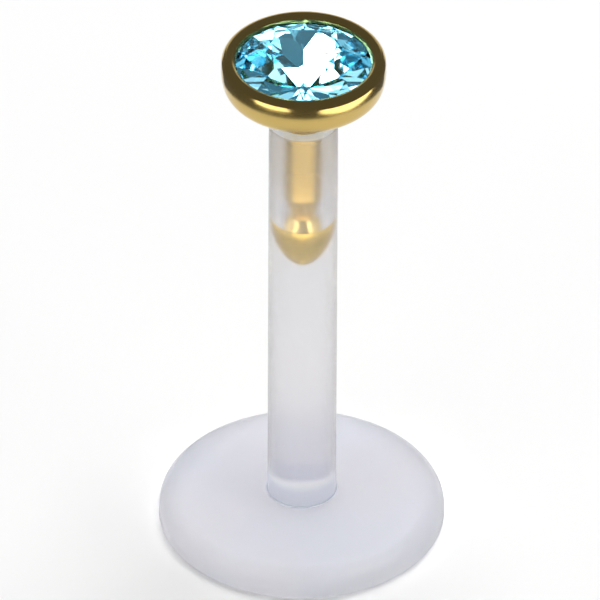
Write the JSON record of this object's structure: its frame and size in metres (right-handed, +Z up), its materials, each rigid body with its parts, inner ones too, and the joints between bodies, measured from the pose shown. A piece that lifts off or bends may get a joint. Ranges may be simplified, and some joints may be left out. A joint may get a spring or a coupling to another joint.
{
  "type": "labret stud",
  "caption": "Labret stud: a clear plastic disc and straight post with a blind bore, and a gold rub-over setting with a round blue stone on a barbed pin that pushes into the post.",
  "frame": {"origin": "centre of the disc's flat back, on the post's axis", "axes": "+Z up the post from the disc to the jewelled top; the stud is round about Z, so X and Y are free"},
  "size_m": [0.005, 0.005, 0.0101],
  "materials": {
    "clear_plastic": "moulded, milky clear, polished smooth",
    "gold": "polished gold colour",
    "blue_stone": "faceted, polished, mirror-backed"
  },
  "bodies": {
    "post": {"disc_and_post": "clear_plastic"},
    "top": {"setting_and_pin": "gold", "stone": "blue_stone"}
  },
  "joints": [
    {"name": "top_pull", "type": "slide", "parent": "post", "child": "top", "axis": [0, 0, 1], "range_m": [0, 0.0122]}
  ]
}
